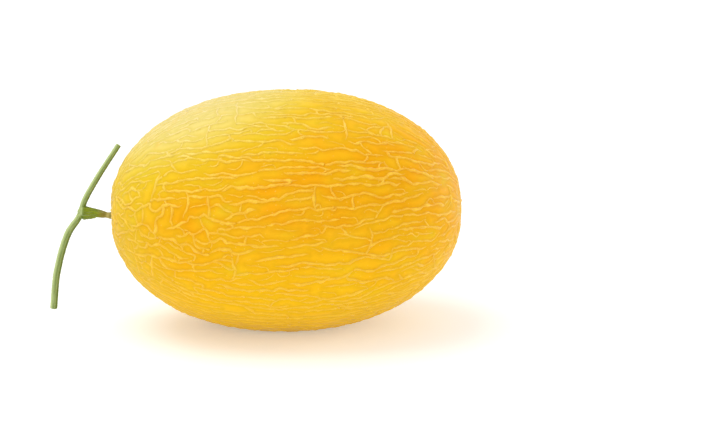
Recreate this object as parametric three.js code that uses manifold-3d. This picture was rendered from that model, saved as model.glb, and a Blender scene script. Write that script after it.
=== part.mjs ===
// A whole hami melon lying on its side, with the fruit stalk and the piece of vine that it was cut
// with. Millimetres, +Z up. The origin is the middle of the flat ground spot that the fruit rests
// on, and +X runs along the fruit, from its stalk end to its blossom end.

import * as THREE from "three";
import { mergeVertices } from "three/addons/utils/BufferGeometryUtils.js";
import Module from "manifold-3d";

const wasm = await Module();
wasm.setup();

// ---- Driving dimensions: the fruit ------------------------------------------------------------

const FRUIT_LENGTH = 246;
const FRUIT_DIAMETER = 169;
const FULLNESS = 2.13; // exponent of the long outline: 2 is an ellipse, and more is blunter
const GROUND_SPOT_DEPTH = 1; // how much of the underside is pressed flat where the fruit lay
const STALK_DIMPLE = { depth: 1.2, radius: 8 };
const BLOSSOM_SCAR = { depth: 0.7, radius: 7 };
// Soft shoulders round the fruit: how many, how high, and where they start.
const SHOULDERS = [
  { count: 2, height: 0.35, turn: 0.7 },
  { count: 3, height: 0.3, turn: 2.2 },
  { count: 5, height: 0.15, turn: 4.1 },
];
const SHOULDER_TWIST = 0.6; // how far the shoulders turn between the middle and an end

// ---- Driving dimensions: the stem -------------------------------------------------------------

// Diameters, each as [share of the length, diameter]. The vine starts at its upper end. The stalk
// starts inside the vine, spreads into a foot, thins to a neck and ends in a button.
const VINE_DIAMETERS = [
  [0, 3.5],
  [0.42, 4.2],
  [0.56, 4.8],
  [1, 4.8],
];
const STALK_DIAMETERS = [
  [0, 3.6],
  [0.1, 9],
  [0.16, 9],
  [0.28, 7.6],
  [0.42, 6.2],
  [0.56, 5.6],
  [0.66, 5.3],
  [0.74, 4.7],
  [0.83, 3.8],
  [0.9, 4.2],
  [0.96, 4.8],
  [1, 4.8],
];
const RIBS = { count: 5, depth: 0.06 };
const KNUCKLE = { diameter: 6.4, middle: [20.2, 0, 1] };
const STALK_CLEARANCE = 0.5; // from the button to the floor of the fruit's dimple

// The vine's line, from its upper cut end through the knuckle, where it bends a little, to its
// lower cut end: how far each point lies beyond the stalk end of the fruit, to its side, and above
// its axis.
const VINE_LINE = [
  [-6.4, 5, 47.7],
  [9.5, 2.5, 24],
  [18.2, 0.8, 9],
  [22.1, -0.2, -2],
  [30.3, -1.5, -14],
  [38.7, -3, -41],
  [42.1, -3.5, -68.1],
];
// The stalk's line, from inside the vine to the fruit, given in the same way.
const STALK_LINE = [
  [22.6, 0, 1],
  [12.6, 0.4, 0.2],
  [6.5, 0.3, -0.9],
  [2, 0.1, -1.8],
];
const STALK_SEAT_RISE = -2;

// ---- Fineness of the meshes -------------------------------------------------------------------

const FRUIT_SIDES = 48;
const FRUIT_RINGS = 36;
const RING_CROWDING = 0.11; // draws the rings together towards both ends of the fruit
const VINE_SIDES = 20;
const VINE_RINGS = 26;
const STALK_SIDES = 16;
const STALK_RINGS = 20;
const KNUCKLE_FACETS = 14;

const HALF_LENGTH = FRUIT_LENGTH / 2;
const FRUIT_RADIUS = FRUIT_DIAMETER / 2;
const AXIS_HEIGHT = FRUIT_RADIUS - GROUND_SPOT_DEPTH;

// ---- Closed meshes and solids -----------------------------------------------------------------

function solidOf(geometry) {
  const bare = geometry.clone();
  bare.deleteAttribute("normal");
  bare.deleteAttribute("uv");
  const merged = mergeVertices(bare, 1e-4);
  return new wasm.Manifold(
    new wasm.Mesh({
      numProp: 3,
      vertProperties: merged.attributes.position.array,
      triVerts: new Uint32Array(merged.index.array),
    }),
  );
}

function geometryOf(solid) {
  const mesh = solid.getMesh();
  const geometry = new THREE.BufferGeometry();
  geometry.setAttribute("position", new THREE.BufferAttribute(mesh.vertProperties, 3));
  geometry.setIndex(new THREE.BufferAttribute(mesh.triVerts, 1));
  geometry.computeVertexNormals();
  return geometry;
}

// ---- Fruit ------------------------------------------------------------------------------------

// One point of the long outline, as its distance from the axis and its place along it. The turn
// runs from 0 at the stalk end to PI at the blossom end.
function outlinePoint(turn) {
  const power = 2 / FULLNESS;
  const along = -Math.sign(Math.cos(turn)) * Math.abs(Math.cos(turn)) ** power;
  const out = Math.max(0, Math.sin(turn)) ** power;
  return new THREE.Vector2(out * FRUIT_RADIUS, along * HALF_LENGTH);
}

function fruitOutline() {
  const points = [];
  for (let ring = 0; ring <= FRUIT_RINGS; ring++) {
    const share = ring / FRUIT_RINGS;
    const crowded = share - RING_CROWDING * Math.sin(2 * Math.PI * share);
    points.push(outlinePoint(Math.PI * crowded));
  }
  points[0].x = 0;
  points[FRUIT_RINGS].x = 0;
  return points;
}

// How far the skin stands out from the round, at a place along the axis and an angle round it.
function shoulderHeight(along, angle) {
  const end = along / HALF_LENGTH;
  const fade = 1 - end * end;
  let height = 0;
  for (const s of SHOULDERS) {
    height += s.height * Math.cos(s.count * angle + s.turn + SHOULDER_TWIST * end);
  }
  return height * fade;
}

function hollow(hollowAt, out) {
  return hollowAt.depth * Math.exp(-((out / hollowAt.radius) ** 2));
}

// Turns the round, straight-axised fruit into a grown one: soft shoulders, a dimple for the
// stalk and a shallow scar where the blossom was.
function growUneven(geometry) {
  const position = geometry.attributes.position;
  for (let i = 0; i < position.count; i++) {
    const along = position.getX(i);
    const out = Math.hypot(position.getY(i), position.getZ(i));
    const angle = Math.atan2(position.getY(i), position.getZ(i));
    const grown = out > 0 ? (out + shoulderHeight(along, angle)) / out : 1;
    const pushed = along < 0 ? hollow(STALK_DIMPLE, out) : -hollow(BLOSSOM_SCAR, out);
    position.setXYZ(i, along + pushed, position.getY(i) * grown, position.getZ(i) * grown);
  }
}

function fruitSolid() {
  const round = new THREE.LatheGeometry(fruitOutline(), FRUIT_SIDES);
  round.rotateZ(-Math.PI / 2);
  growUneven(round);
  const below = new THREE.BoxGeometry(FRUIT_LENGTH, FRUIT_DIAMETER, FRUIT_RADIUS);
  below.translate(0, 0, -AXIS_HEIGHT - FRUIT_RADIUS / 2);
  return solidOf(round).subtract(solidOf(below));
}

// ---- Stem -------------------------------------------------------------------------------------

// A point given as VINE_LINE gives it, in the frame whose X axis is the fruit's own axis.
function beyondStalkEnd([reach, side, rise]) {
  return new THREE.Vector3(-HALF_LENGTH - reach, side, rise);
}

// The diameter at a share of the length, straight-lined between the two nearest given ones.
function diameterAt(diameters, share) {
  const next = Math.max(1, diameters.findIndex(([place]) => place >= share));
  const [from, before] = diameters[next - 1];
  const [to, after] = diameters[next];
  return THREE.MathUtils.mapLinear(share, from, to, before, after);
}

// A closed, ribbed stem of changing thickness: a capped cylinder whose rings are moved onto a
// line.
function stemAlong(line, diameters, sides, rings) {
  const geometry = new THREE.CylinderGeometry(1, 1, 1, sides, rings);
  const frames = line.computeFrenetFrames(rings, false);
  const position = geometry.attributes.position;
  for (let i = 0; i < position.count; i++) {
    const share = position.getY(i) + 0.5;
    const ring = Math.round(share * rings);
    const angle = Math.atan2(position.getX(i), position.getZ(i));
    const ribbed = 1 + RIBS.depth * Math.cos(RIBS.count * angle);
    const radius = (diameterAt(diameters, share) / 2) * ribbed;
    const place = line.getPointAt(share);
    place.addScaledVector(frames.normals[ring], position.getZ(i) * radius);
    place.addScaledVector(frames.binormals[ring], position.getX(i) * radius);
    position.setXYZ(i, place.x, place.y, place.z);
  }
  return solidOf(geometry);
}

function vineSolid() {
  const line = new THREE.CatmullRomCurve3(VINE_LINE.map(beyondStalkEnd));
  return stemAlong(line, VINE_DIAMETERS, VINE_SIDES, VINE_RINGS);
}

function stalkSolid() {
  const seat = [-STALK_DIMPLE.depth + STALK_CLEARANCE, 0, STALK_SEAT_RISE];
  const line = new THREE.CatmullRomCurve3([...STALK_LINE, seat].map(beyondStalkEnd));
  return stemAlong(line, STALK_DIAMETERS, STALK_SIDES, STALK_RINGS);
}

// The swollen joint of the vine that the stalk grows from.
function knuckleSolid() {
  const knuckle = new THREE.SphereGeometry(KNUCKLE.diameter / 2, KNUCKLE_FACETS, KNUCKLE_FACETS);
  const middle = beyondStalkEnd(KNUCKLE.middle);
  knuckle.translate(middle.x, middle.y, middle.z);
  return solidOf(knuckle);
}

function stemSolid() {
  return vineSolid().add(stalkSolid()).add(knuckleSolid());
}

// ---- The melon --------------------------------------------------------------------------------

const rind = new THREE.MeshStandardMaterial({ color: 0xf5b52c, roughness: 0.48, metalness: 0 });
const greenStem = new THREE.MeshStandardMaterial({ color: 0x9fae6c, roughness: 0.75, metalness: 0 });

const fruit = new THREE.Mesh(geometryOf(fruitSolid()), rind);
fruit.name = "fruit";

const stem = new THREE.Mesh(geometryOf(stemSolid()), greenStem);
stem.name = "stem";

const melon = new THREE.Group();
melon.position.z = AXIS_HEIGHT;
melon.add(fruit, stem);

const part = new THREE.Group();
part.add(melon);

export default part;
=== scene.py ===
# %% [markdown]
# # A netted melon, with the stem it was picked with
#
# This notebook dresses the plain solids of a hami melon until they look like a ripe fruit: a
# golden skin, a net of pale cork that stands up from it, and a green, ribbed stem with fine
# bristles. Everything is in metres. The fruit lies along X, with its stalk end at -X, and it
# rests on z = 0.

# %% Load the solids
import math
import random
from itertools import product

import bmesh
import bpy
import numpy as np
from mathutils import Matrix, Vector, kdtree, noise
from mathutils.bvhtree import BVHTree


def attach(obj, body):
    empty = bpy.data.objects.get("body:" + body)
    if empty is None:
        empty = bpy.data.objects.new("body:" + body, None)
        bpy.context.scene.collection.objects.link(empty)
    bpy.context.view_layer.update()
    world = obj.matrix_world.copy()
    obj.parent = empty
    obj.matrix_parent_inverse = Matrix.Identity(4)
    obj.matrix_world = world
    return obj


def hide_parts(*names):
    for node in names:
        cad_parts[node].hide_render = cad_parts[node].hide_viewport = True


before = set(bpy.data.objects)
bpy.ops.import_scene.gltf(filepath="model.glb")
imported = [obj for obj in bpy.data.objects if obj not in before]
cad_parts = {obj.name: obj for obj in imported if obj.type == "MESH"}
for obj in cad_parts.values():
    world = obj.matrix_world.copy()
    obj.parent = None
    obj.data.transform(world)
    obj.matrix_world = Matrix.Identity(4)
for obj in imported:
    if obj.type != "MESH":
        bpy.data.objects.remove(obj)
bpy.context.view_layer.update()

MM = 0.001

# %% [markdown]
# ## The studio
#
# A long lens keeps the outline of a fruit true, as an eye a few steps away would see it. The
# camera looks across the fruit and a little down on it, and leaves room on the blossom side.

# %% Camera
VIEW_AZIMUTH = math.radians(-3.5)
VIEW_ELEVATION = math.radians(15)
VIEW_DISTANCE = 1.655
LOOK_ASIDE = 46.5 * MM  # how far the aim is to the right of the fruit's middle
LOOK_BELOW = 9.8 * MM
AXIS_HEIGHT = 83.5 * MM

scene = bpy.context.scene
forward = Vector(
    (
        -math.sin(VIEW_AZIMUTH) * math.cos(VIEW_ELEVATION),
        math.cos(VIEW_AZIMUTH) * math.cos(VIEW_ELEVATION),
        -math.sin(VIEW_ELEVATION),
    )
)
rightward = forward.cross(Vector((0, 0, 1))).normalized()
upward = rightward.cross(forward)
aim = Vector((0, 0, AXIS_HEIGHT)) + rightward * LOOK_ASIDE - upward * LOOK_BELOW

lens = bpy.data.cameras.new("camera")
lens.lens = 120
lens.sensor_width = 36
lens.clip_end = 50
camera = bpy.data.objects.new("camera", lens)
camera.location = aim - forward * VIEW_DISTANCE
camera.rotation_euler = forward.to_track_quat("-Z", "Y").to_euler()
scene.collection.objects.link(camera)
scene.camera = camera
scene.view_settings.view_transform = "Standard"
print("camera at", [round(v, 3) for v in camera.location])

# %% [markdown]
# Light and finishes are built from nodes. A few small helpers keep that short: whatever an input
# is given, a value or the socket of another node, one of them sets it or joins it.

# %% Helpers for nodes
def feed(tree, value, socket):
    if isinstance(value, bpy.types.NodeSocket):
        tree.links.new(value, socket)
    else:
        socket.default_value = value


def node(tree, kind, inputs=None, **settings):
    """Adds a node, sets its properties, and feeds its inputs by name or by number."""
    made = tree.nodes.new(kind)
    for name, value in settings.items():
        setattr(made, name, value)
    for name, value in (inputs or {}).items():
        feed(tree, value, made.inputs[name])
    return made


def maths(tree, operation, *values):
    return node(tree, "ShaderNodeMath", dict(enumerate(values)), operation=operation).outputs[0]


def vector_maths(tree, operation, *values, output="Vector"):
    made = node(tree, "ShaderNodeVectorMath", dict(enumerate(values)), operation=operation)
    return made.outputs[output]


def ranged(tree, value, low, high, to_low=0.0, to_high=1.0):
    """Stretches the values from low to high onto another range, with soft ends."""
    ends = {"From Min": low, "From Max": high, "To Min": to_low, "To Max": to_high}
    made = node(tree, "ShaderNodeMapRange", ends, interpolation_type="SMOOTHSTEP")
    feed(tree, value, made.inputs["Value"])
    return made.outputs["Result"]


def object_places(tree):
    return node(tree, "ShaderNodeTexCoord").outputs["Object"]


def bare_tree(owner):
    """The node tree of a material or a world, emptied."""
    owner.use_nodes = True
    owner.node_tree.nodes.clear()
    return owner.node_tree


# %% [markdown]
# The light is a white tent with one large soft window above the fruit on its left, a weak lamp in
# front and a weaker one behind it on its right, which keeps that edge as bright as the other.
# The tent comes from the world, at a level at which a colour shows about as it is written.

# %% World and lamps
WHITE = (1, 1, 1, 1)
TENT_LIGHT = 0.68
LAMPS = (  # name, place, size and watts
    ("window", (-0.6, 0.1, 1.6), 1.2, 12.6),
    ("fill", (-0.05, -1.85, 0.5), 1.4, 6.3),
    ("edge", (1.38, 0.46, 0.32), 0.55, 4.4),
)

world = bpy.data.worlds.new("tent")
scene.world = world
tent = bare_tree(world)
ray = node(tent, "ShaderNodeLightPath").outputs
glossy_too = maths(tent, "MAXIMUM", ray["Is Camera Ray"], ray["Is Glossy Ray"])
seen = maths(tent, "MAXIMUM", glossy_too, ray["Is Transmission Ray"])
lighting = node(tent, "ShaderNodeBackground", {"Color": WHITE, "Strength": TENT_LIGHT}).outputs[0]
backdrop = node(tent, "ShaderNodeBackground", {"Color": WHITE, "Strength": 1.0}).outputs[0]
shown = node(tent, "ShaderNodeMixShader", {0: seen, 1: lighting, 2: backdrop}).outputs[0]
node(tent, "ShaderNodeOutputWorld", {"Surface": shown})

for name, place, size, watts in LAMPS:
    lamp = bpy.data.lights.new(name, "AREA")
    lamp.energy = watts
    lamp.size = size
    stand = bpy.data.objects.new(name, lamp)
    stand.location = place
    to_fruit = Vector((0, 0, AXIS_HEIGHT)) - Vector(place)
    stand.rotation_euler = to_fruit.to_track_quat("-Z", "Y").to_euler()
    scene.collection.objects.link(stand)
    print(name, "lamp:", watts, "W,", round(to_fruit.length, 2), "m from the fruit")

# %% [markdown]
# The fruit lies on a white, matt table, which sends soft light up under it and takes its shadow.
# A floor that only glows would be an even white, but it would lose the shadow. So this one is
# matt with a little glow, and only the camera sees it brighter than it is, until it reads as white.

# %% Floor
FLOOR_REACH = 8.0
FLOOR_WHITE = 0.9
FLOOR_GLOW = 0.15  # a table lit from below, as fruit is often set on
FLOOR_LIFT = 0.12  # what the camera sees beyond the light the floor really sends back
FAR_LIFT = 0.3  # the same where the floor lies far from the fruit
FAR_FROM, FAR_TO = 0.6, 2.2  # metres from the fruit

floor_mesh = bpy.data.meshes.new("floor")
corners = [(x, y, 0) for x, y in ((-1, -1), (1, -1), (1, 1), (-1, 1))]
floor_mesh.from_pydata([Vector(c) * FLOOR_REACH for c in corners], [], [(0, 1, 2, 3)])
floor = bpy.data.objects.new("floor", floor_mesh)
scene.collection.objects.link(floor)

floor_paint = bpy.data.materials.new("white floor")
paint = bare_tree(floor_paint)
away = vector_maths(paint, "LENGTH", object_places(paint), output="Value")
floor_lift = ranged(paint, away, FAR_FROM, FAR_TO, FLOOR_LIFT, FAR_LIFT)
to_camera = node(paint, "ShaderNodeLightPath").outputs["Is Camera Ray"]
brightness = maths(paint, "MULTIPLY_ADD", to_camera, floor_lift, FLOOR_GLOW)
matt = node(paint, "ShaderNodeBsdfDiffuse", {"Color": (FLOOR_WHITE,) * 3 + (1,)}).outputs[0]
glow = node(paint, "ShaderNodeEmission", {"Color": WHITE, "Strength": brightness}).outputs[0]
both = node(paint, "ShaderNodeAddShader", {0: matt, 1: glow}).outputs[0]
node(paint, "ShaderNodeOutputMaterial", {"Surface": both})
floor_mesh.materials.append(floor_paint)
print("floor:", 2 * FLOOR_REACH, "m across")

# %% [markdown]
# ## The shape of the fruit
#
# A hami melon is a long, blunt egg, so its outline is a superellipse, which one exponent makes
# blunter than an ellipse. Three soft waves round it keep it from looking turned on a lathe. The
# stalk end has a small dimple, the blossom end a shallow scar, and the underside is pressed
# flat where it lay. One formula gives every point of the skin, and the net will use it too,
# with a lift that says how far a point stands out from the skin.

# %% Skin formula
FRUIT_LENGTH = 246 * MM
FRUIT_DIAMETER = 169 * MM
FULLNESS = 2.13
STALK_DIMPLE = (1.2 * MM, 8 * MM)  # depth and radius
BLOSSOM_SCAR = (0.7 * MM, 7 * MM)
SHOULDERS = ((2, 0.35 * MM, 0.7), (3, 0.3 * MM, 2.2), (5, 0.15 * MM, 4.1))  # count, height, turn
SHOULDER_TWIST = 0.6
SPOT_LEVEL = 0.3 * MM  # the skin of the ground spot clears the floor by this, for the net
SPOT_ROUNDING = 0.6 * MM

HALF_LENGTH = FRUIT_LENGTH / 2
RADIUS = FRUIT_DIAMETER / 2


def outline(turn):
    """Places along the axis and distances from it, for turns from 0 (stalk) to pi (blossom)."""
    power = 2 / FULLNESS
    cosine = np.cos(turn)
    along = -np.sign(cosine) * np.abs(cosine) ** power * HALF_LENGTH
    return along, np.maximum(np.sin(turn), 0) ** power * RADIUS


def bell(distance, height, breadth):
    """The height of a soft, round swelling, at a distance from its middle."""
    return height * np.exp(-((distance / breadth) ** 2))


def skin(turn, angle, lift=0.0):
    """Points of the skin, or above it by lift, as an array of x, y, z."""
    along, out = outline(turn)
    end = along / HALF_LENGTH
    waves = sum(h * np.cos(n * angle + t + SHOULDER_TWIST * end) for n, h, t in SHOULDERS)
    dimple = bell(out, *STALK_DIMPLE) * (along < 0)
    scar = bell(out, *BLOSSOM_SCAR) * (along > 0)
    lean = np.sign(along) * np.abs(end) ** (FULLNESS - 1) / HALF_LENGTH
    stand = (out / RADIUS) ** (FULLNESS - 1) / RADIUS
    steep = np.hypot(lean, stand)
    x = along + dimple - scar + lift * lean / steep
    around = out + waves * (1 - end**2) * (out > 0) + lift * stand / steep
    y = around * np.sin(angle)
    z = AXIS_HEIGHT + around * np.cos(angle)
    level = np.maximum(SPOT_LEVEL - lift, 0)
    above = z - level
    z = level + 0.5 * (above + np.sqrt(above**2 + SPOT_ROUNDING**2))
    return np.stack(np.broadcast_arrays(x, y, z), -1)


# %% [markdown]
# The cracks are measured over the skin, as with a tape. A fine table of the outline gives, for
# any turn, the distance over the skin from the stalk end, which is called the run from here on. A
# run and an angle round the axis say where anything on the fruit is.

# %% Distances over the skin
TABLE_SIZE = 4001

table_turns = np.linspace(0, math.pi, TABLE_SIZE)
table_along, table_out = outline(table_turns)
table_runs = np.concatenate(
    ([0], np.cumsum(np.hypot(np.diff(table_along), np.diff(table_out))))
)
table_slopes = np.gradient(table_out, table_runs)
MERIDIAN = float(table_runs[-1])
print("from end to end over the skin:", round(MERIDIAN / MM, 1), "mm")


def outline_at(runs):
    """Places along the axis and distances from it, for distances over the skin."""
    return np.interp(runs, table_runs, table_along), np.interp(runs, table_runs, table_out)


# %% [markdown]
# Every piece of the fruit's surface gets a map of its own, rolled round the fruit like a label,
# with the join underneath, so that its colours can be baked onto it later.

# %% Meshes over the fruit
def read_all(items, label):
    """Reads one whole number from every corner, or every face, of a mesh."""
    values = np.empty(len(items), np.int32)
    items.foreach_get(label, values)
    return values


def wrap_map(mesh, runs, angles):
    """Maps each vertex by its place on the fruit: distance from the stalk end, and angle. A face
    that crosses the join lies wholly beyond it, and a pole takes the middle of each face."""
    corners = read_all(mesh.loops, "vertex_index")
    starts = read_all(mesh.polygons, "loop_start")
    counts = read_all(mesh.polygons, "loop_total")
    around = (angles[corners] / (2 * math.pi)) % 1
    at_pole = (runs[corners] <= 0) | (runs[corners] >= MERIDIAN)
    low = np.minimum.reduceat(np.where(at_pole, 2, around), starts)
    high = np.maximum.reduceat(np.where(at_pole, -1, around), starts)
    crossing = np.repeat(high - low > 0.5, counts)
    around = around + (crossing & (around < 0.5))
    middle = np.repeat(np.where(high - low > 0.5, 1.0, (low + high) / 2), counts)
    around = np.where(at_pole, middle, around)
    layer = mesh.uv_layers.new(name="OFBake")
    pairs = np.stack([runs[corners] / MERIDIAN, around], 1)
    layer.uv.foreach_set("vector", pairs.astype(np.float32).ravel())


def link_piece(name, mesh):
    piece = bpy.data.objects.new(name, mesh)
    scene.collection.objects.link(piece)
    return piece


def new_piece(name, points, faces):
    mesh = bpy.data.meshes.new(name)
    mesh.from_pydata(points, [], faces)
    mesh.update()
    return link_piece(name, mesh)


def keep_numbers(piece, label, values):
    """Keeps a number at every vertex, for the finish to read."""
    kept = piece.data.attributes.new(label, "FLOAT", "POINT")
    kept.data.foreach_set("value", np.asarray(values, np.float32))


def triangles(piece):
    return sum(len(face.vertices) - 2 for face in piece.data.polygons)


# %% [markdown]
# ## The cork net
#
# As a hami melon swells, its skin cracks, and the fruit heals each crack with a ridge of cork.
# It grows longer faster than it grows stout, so most cracks run along it, and short ones cross
# from one to the next. The ridges could be painted on with a bump map, but they catch the
# light, break the outline and show in the mesh, so they are grown here as real cracks: each
# one sets out from a free place and finds its way over the skin.

# %% The places of cracks
NET_SEED = 35
STEP = 1.2 * MM
CELL = 4.2 * MM  # the size of the small boxes that places are filed in
LEAST_OUT = 2 * MM  # nearer to the axis than this, angles are as coarse as they are here
WRIGGLES = ((1.0 * MM, 4.8 * MM), (0.6 * MM, 2.2 * MM))  # how much, and how far across
WRIGGLE_ALONG = 0.6  # of that sideways

draw = random.Random(NET_SEED)
cracks = []  # each a dict: its places, as (run, angle), its width, and which ends are joined
by_cell = {}


def out_at(run):
    return float(np.interp(run, table_runs, table_out))


def place_at(run, angle):
    """A point of the round fruit, without its waves, for measuring how far cracks are apart."""
    along, out = map(float, outline_at(run))
    return along, out * math.sin(angle), out * math.cos(angle)


def cell_of(point):
    return tuple(int(math.floor(v / CELL)) for v in point)


def wriggled(run, angle):
    """Moves a place by a fine, uneven warp, the same for all cracks, so that joins stay joined."""
    spot = Vector(place_at(run, angle))
    side = sum(a * noise.noise(spot / size + Vector((3, 8, 6))) for a, size in WRIGGLES)
    ahead = sum(a * noise.noise(spot / size + Vector((9, 1, 4))) for a, size in WRIGGLES)
    return run + WRIGGLE_ALONG * ahead, angle + side / max(out_at(run), LEAST_OUT)


def add_crack(places, width, joined):
    """Adds a crack: joined says of each end whether it meets another, so that it needn't fade."""
    for at, place in enumerate(places):
        point = place_at(*place)
        by_cell.setdefault(cell_of(point), []).append((point, len(cracks), at))
    cracks.append({"places": places, "width": width, "joined": joined})


def nearest(point, reach, but=None):
    """The nearest place within reach on any crack but one: which crack, which place, how far."""
    best, found = reach * reach, None
    for cell in product(*((c - 1, c, c + 1) for c in cell_of(point))):
        for other, crack_index, at in by_cell.get(cell, ()):
            apart = sum((a - b) ** 2 for a, b in zip(point, other))
            if apart < best and crack_index != but:
                best, found = apart, (crack_index, at)
    return found and (*found, math.sqrt(best))


# %% [markdown]
# Three things steer a crack. The skin has a grain, the way in which it splits most easily: it
# follows the fruit's length, and leans a little towards the level where the ends close in. Some
# parts of the skin split crosswise as well, most of all the flanks near the stalk. And a
# crack feels its neighbours: most keep clear of them, and some seek them out and join them.

# %% The grain of the skin
LEVEL_SHARE = 0.35  # how far the grain leans from the fruit's length towards the level
GRAIN_SWEEP = (0.12, 55 * MM)  # broad sweeps of the grain: how much, and how far across
GRAIN_RIPPLE = (0.2, 12 * MM)
# Where the skin splits crosswise: from where, over how far, and how much. Places are in half
# lengths from the middle towards an end, and in radii above the axis.
CROSS_BY_STALK = (0.15, 0.3, 0.75)
CROSS_BY_BLOSSOM = (0.7, 0.3, 0.3)
CROSS_FLANK = (1.35, 0.04, 2.9)  # the most, the height where it is so, and how fast it fades
CROSS_PATCHES = (0.35, 30 * MM)  # how much they add, and how far across they are
CROSS_EVERYWHERE = 0.03


def level_lean(run, angle):
    """The angle between the fruit's length and the level, faded out along its top and bottom."""
    slope = float(np.interp(run, table_runs, table_slopes))
    across = abs(math.sin(angle))
    rise = math.copysign(slope, math.sin(angle) * slope) * math.cos(angle)
    return math.atan2(rise, across) * across


def grain(run, angle):
    spot = Vector(place_at(run, angle))
    sweep = GRAIN_SWEEP[0] * noise.noise(spot / GRAIN_SWEEP[1] + Vector((7, 3, 1)))
    ripple = GRAIN_RIPPLE[0] * noise.noise(spot / GRAIN_RIPPLE[1] + Vector((2, 9, 5)))
    return LEVEL_SHARE * level_lean(run, angle) + sweep + ripple


def clamped(value):
    return max(0.0, min(1.0, value))


def crossness(run, angle):
    """From 0 to 1: how much the skin here splits crosswise and not only along its grain."""
    x, y, z = place_at(run, angle)
    start, fade, by_stalk = CROSS_BY_STALK
    near_stalk = clamped((-x / HALF_LENGTH - start) / fade)
    start, fade, by_blossom = CROSS_BY_BLOSSOM
    near_blossom = clamped((x / HALF_LENGTH - start) / fade)
    most, height, fade = CROSS_FLANK
    flank = clamped(most - abs(z / RADIUS - height) * fade)
    patches, size = CROSS_PATCHES
    patch = noise.noise(Vector((x, y, z)) / size)
    share = CROSS_EVERYWHERE + by_stalk * near_stalk * flank + by_blossom * near_blossom
    return clamped(share + patches * patch)


# %% [markdown]
# A crack grows at its tip, one small step at a time. At each step the tip turns most of the way to
# its course: its own angle to the grain, with a kink that it keeps for a while. Near another crack
# it turns away, or towards it if it wants to join, and it ends where the two meet.

# %% How the tip of a crack moves
SIGHT = 4.2 * MM  # how far the tip of a crack feels the others
MEETING = 1.5 * MM  # a tip that comes this near another crack joins it
END_CLEAR = 5 * MM  # cracks stop this far from the two poles
STRETCH = (2.5 * MM, 8 * MM)  # how far a crack runs straight, before it takes a kink
TURNING = 0.7  # how much of the way to its new course a tip turns in one step
MOST_TURN = 0.8
SHYNESS = 0.9
BESIDE = 1.9  # a neighbour further round than this lies behind the tip
LAST_REACH = 8 * MM  # how far a crack that wants to join another goes on looking
LEAVING = 3 * MM  # how far a branch runs before it feels the crack that it grew from


def wrapped(angle):
    return (angle + math.pi) % (2 * math.pi) - math.pi


def bearing(here, there):
    """The direction over the skin from one place to another."""
    side = wrapped(there[1] - here[1]) * out_at(here[0])
    return math.atan2(side, there[0] - here[0])


def spread(run, angle, course, length, wander, seeks_from, parent=None):
    """Grows a crack one way. Returns its places after the first, and whether it met another.

    course is its angle to the grain, and after seeks_from of its length it seeks others out, but
    never its parent, the crack that it branches from.
    """
    places = []
    travelled = straight = 0.0
    heading = course + grain(run, angle)
    limit = length + (LAST_REACH if seeks_from < 1 else 0)
    while travelled < limit:
        if straight <= 0:
            straight = draw.uniform(*STRETCH)
            kink = draw.gauss(0, wander)
        straight -= STEP
        goal = course + grain(run, angle) + kink
        near = nearest(place_at(run, angle), SIGHT, parent if travelled < LEAVING else None)
        if near:
            other, at, apart = near
            met = cracks[other]["places"][at]
            if apart < MEETING:
                return places + [met], True
            toward = wrapped(bearing((run, angle), met) - heading)
            if abs(toward) < BESIDE and travelled >= seeks_from * length and other != parent:
                goal = heading + toward
            elif abs(toward) < BESIDE:
                goal -= math.copysign(SHYNESS * (1 - apart / SIGHT), toward)
        heading += max(-MOST_TURN, min(MOST_TURN, wrapped(goal - heading) * TURNING))
        run += STEP * math.cos(heading)
        angle += STEP * math.sin(heading) / max(out_at(run), LEAST_OUT)
        if not END_CLEAR < run < MERIDIAN - END_CLEAR:
            break
        places.append((run, angle))
        travelled += STEP
    return places, False


# %% [markdown]
# Round the stalk, and round the scar that the flower left, cork heals in rings. A ring could be a
# torus, but cork isn't so even. So each one is a closed crack with a wobble. The rings come
# first, so that the other cracks find them in their way.

# %% Rings of cork round the stalk and the blossom scar
STALK_SEAT_RISE = -2 * MM  # the stalk meets the fruit this far above its axis
RINGS = (  # run of the pole, direction, radius, rise of the middle, wobble, width
    (0, 1, 3.3 * MM, STALK_SEAT_RISE, 0.5 * MM, 1.9 * MM),
    (0, 1, 7.5 * MM, STALK_SEAT_RISE / 2, 2.0 * MM, 1.4 * MM),
    (MERIDIAN, -1, 6.6 * MM, 0, 1.2 * MM, 1.8 * MM),
    (MERIDIAN, -1, 11.5 * MM, 0, 3.0 * MM, 1.3 * MM),
)

# Each ring is closed and uneven, and runs round a point that lies near a pole.
for pole_run, side, radius, rise, wobble, width in RINGS:
    count = round(2 * math.pi * radius / STEP)
    places = []
    for i in range(count + 1):
        turn = 2 * math.pi * i / count
        uneven = noise.noise(Vector((math.cos(turn), math.sin(turn), radius / MM)))
        reach = radius + wobble * uneven
        y, z = reach * math.sin(turn), rise + reach * math.cos(turn)
        places.append((pole_run + side * math.hypot(y, z), math.atan2(y, z)))
    add_crack(places, width, (True, True))
first_free = len(cracks)
print(first_free, "rings")

# %% [markdown]
# The long cracks come next. Each sets out both ways from a place that is still free, so that they
# fill the skin evenly without lying in rows. They are about four centimetres long on average, and
# a few run half the length of the fruit.

# %% Long cracks
LONG_TRIES = 9000
LONG_CLEARANCE = 4.9 * MM  # a new crack starts only this far from every other
CLOSER = 0.15  # how much less of that is kept where the skin splits crosswise the most
LONG_MEDIAN = 46 * MM
LONG_SPREAD = 0.5
LONGEST = 130 * MM
CROSS_SHORTER = 0.55
CROSS_LONGEST = 20 * MM
SHORTEST = 6 * MM
FEWEST_STEPS = 3  # a branch or a hairline that is shorter would be a dot
CROSS_START = 0.5  # the chance that a crack sets out crosswise, where the skin splits most so
LOOKS_OUT = 0.9  # of its length: from here on, a crack may look for another
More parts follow.
